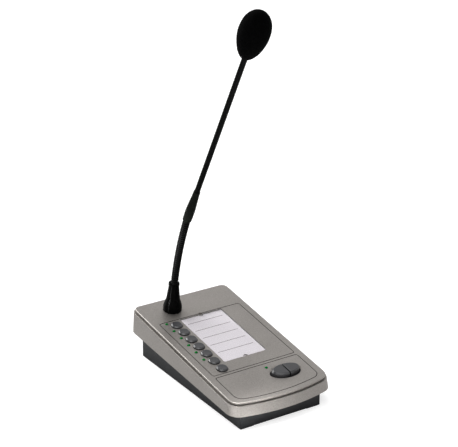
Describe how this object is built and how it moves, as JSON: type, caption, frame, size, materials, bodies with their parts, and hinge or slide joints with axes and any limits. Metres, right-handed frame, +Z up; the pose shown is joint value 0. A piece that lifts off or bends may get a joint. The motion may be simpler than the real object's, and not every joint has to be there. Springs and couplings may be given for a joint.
{
  "type": "paging microphone",
  "caption": "Desk paging microphone: sloped base with round zone keys, a ruled label card and split talk keys, and a bendable neck that carries a foam-covered microphone",
  "frame": {"origin": "on the table, under the middle of the base's outline", "axes": "X to the user's right, Y away from the user, Z up"},
  "size_m": [0.1046, 0.1822, 0.3622],
  "materials": {
    "silver_cover": "metallic silver paint on moulded plastic",
    "charcoal_tray": "fine moulded texture",
    "key_plastic": "satin moulded plastic",
    "foot_rubber": "matt",
    "boot_rubber": "smooth matt",
    "lead_rubber": "smooth",
    "neck_black": "satin black coating",
    "sleeve_black": "satin",
    "windscreen_foam": "open-cell foam",
    "lamp_green": "tinted clear plastic",
    "label_paper": "matt with printed rules",
    "clear_window": "clear",
    "board_laminate": "lacquered",
    "header_nylon": "plain",
    "switch_plastic": "plain",
    "socket_plastic": "plain",
    "contact_brass": "plain",
    "zinc_steel": "zinc plated",
    "plain_steel": "blackened",
    "cup_aluminium": "dark anodised",
    "capsule_metal": "drawn can"
  },
  "bodies": {
    "base": {"top_cover": "silver_cover", "bottom_tray": "charcoal_tray", "rubber_feet": "foot_rubber", "housing_screws": "zinc_steel", "ballast_plate": "plain_steel", "ballast_screws": "zinc_steel", "main_board": "board_laminate", "board_screws": "zinc_steel", "board_headers": "header_nylon", "zone_switches": "switch_plastic", "talk_switches": "switch_plastic", "zone_leds": "lamp_green", "talk_led": "lamp_green", "led_spacers": "header_nylon", "label_card": "label_paper", "label_window": "clear_window", "line_board": "board_laminate", "line_board_screws": "zinc_steel", "rear_socket": "socket_plastic", "socket_contacts": "contact_brass", "mic_lead": "lead_rubber", "line_lead": "lead_rubber", "neck_boot": "boot_rubber", "neck_bush": "contact_brass", "neck_washer": "zinc_steel", "neck_nut": "zinc_steel"},
    "key_1": {"zone_key_1": "key_plastic", "zone_plunger_1": "switch_plastic"},
    "key_2": {"zone_key_2": "key_plastic", "zone_plunger_2": "switch_plastic"},
    "key_3": {"zone_key_3": "key_plastic", "zone_plunger_3": "switch_plastic"},
    "key_4": {"zone_key_4": "key_plastic", "zone_plunger_4": "switch_plastic"},
    "key_5": {"zone_key_5": "key_plastic", "zone_plunger_5": "switch_plastic"},
    "key_6": {"zone_key_6": "key_plastic", "zone_plunger_6": "switch_plastic"},
    "key_7": {"zone_key_7": "key_plastic", "zone_plunger_7": "switch_plastic"},
    "talk_left": {"talk_key_left": "key_plastic", "talk_plunger_left": "switch_plastic"},
    "talk_right": {"talk_key_right": "key_plastic", "talk_plunger_right": "switch_plastic"},
    "neck_a": {"flex_1": "neck_black"},
    "neck_b": {"flex_2": "neck_black"},
    "neck_c": {"flex_3": "neck_black"},
    "head": {"flex_4": "neck_black", "joint_sleeve": "sleeve_black", "upper_stem": "neck_black", "capsule_cup": "cup_aluminium", "mic_capsule": "capsule_metal", "windscreen": "windscreen_foam"}
  },
  "joints": [
    {"name": "press_1", "type": "slide", "parent": "base", "child": "key_1", "axis": [0, 0.1374, -0.9905], "range_m": [0, 0.001], "stiffness_N_per_m": 1000, "springref_m": -0.001},
    {"name": "press_2", "type": "slide", "parent": "base", "child": "key_2", "axis": [0, 0.1374, -0.9905], "range_m": [0, 0.001], "stiffness_N_per_m": 1000, "springref_m": -0.001},
    {"name": "press_3", "type": "slide", "parent": "base", "child": "key_3", "axis": [0, 0.1374, -0.9905], "range_m": [0, 0.001], "stiffness_N_per_m": 1000, "springref_m": -0.001},
    {"name": "press_4", "type": "slide", "parent": "base", "child": "key_4", "axis": [0, 0.1374, -0.9905], "range_m": [0, 0.001], "stiffness_N_per_m": 1000, "springref_m": -0.001},
    {"name": "press_5", "type": "slide", "parent": "base", "child": "key_5", "axis": [0, 0.1374, -0.9905], "range_m": [0, 0.001], "stiffness_N_per_m": 1000, "springref_m": -0.001},
    {"name": "press_6", "type": "slide", "parent": "base", "child": "key_6", "axis": [0, 0.1374, -0.9905], "range_m": [0, 0.001], "stiffness_N_per_m": 1000, "springref_m": -0.001},
    {"name": "press_7", "type": "slide", "parent": "base", "child": "key_7", "axis": [0, 0.1374, -0.9905], "range_m": [0, 0.001], "stiffness_N_per_m": 1000, "springref_m": -0.001},
    {"name": "press_talk_left", "type": "slide", "parent": "base", "child": "talk_left", "axis": [0, 0.1374, -0.9905], "range_m": [0, 0.0012], "stiffness_N_per_m": 1000, "springref_m": -0.001},
    {"name": "press_talk_right", "type": "slide", "parent": "base", "child": "talk_right", "axis": [0, 0.1374, -0.9905], "range_m": [0, 0.0012], "stiffness_N_per_m": 1000, "springref_m": -0.001},
    {"name": "neck_bow_low", "type": "hinge", "parent": "base", "child": "neck_a", "pos_m": [-0.0189, 0.06308, 0.08643], "axis": [1, 0, 0], "range_deg": [-25, 25], "deforming": ["flex_1"]},
    {"name": "neck_sway_low", "type": "hinge", "parent": "neck_a", "child": "neck_b", "pos_m": [-0.0189, 0.05831, 0.1043], "axis": [0, 0.9578, 0.2873], "range_deg": [-25, 25], "deforming": ["flex_2"]},
    {"name": "neck_bow_high", "type": "hinge", "parent": "neck_b", "child": "neck_c", "pos_m": [-0.0189, 0.05246, 0.12185], "axis": [1, 0, 0], "range_deg": [-25, 25], "deforming": ["flex_3"]},
    {"name": "neck_sway_high", "type": "hinge", "parent": "neck_c", "child": "head", "pos_m": [-0.0189, 0.04555, 0.13901], "axis": [0, 0.9159, 0.4013], "range_deg": [-25, 25], "deforming": ["flex_4"]}
  ]
}
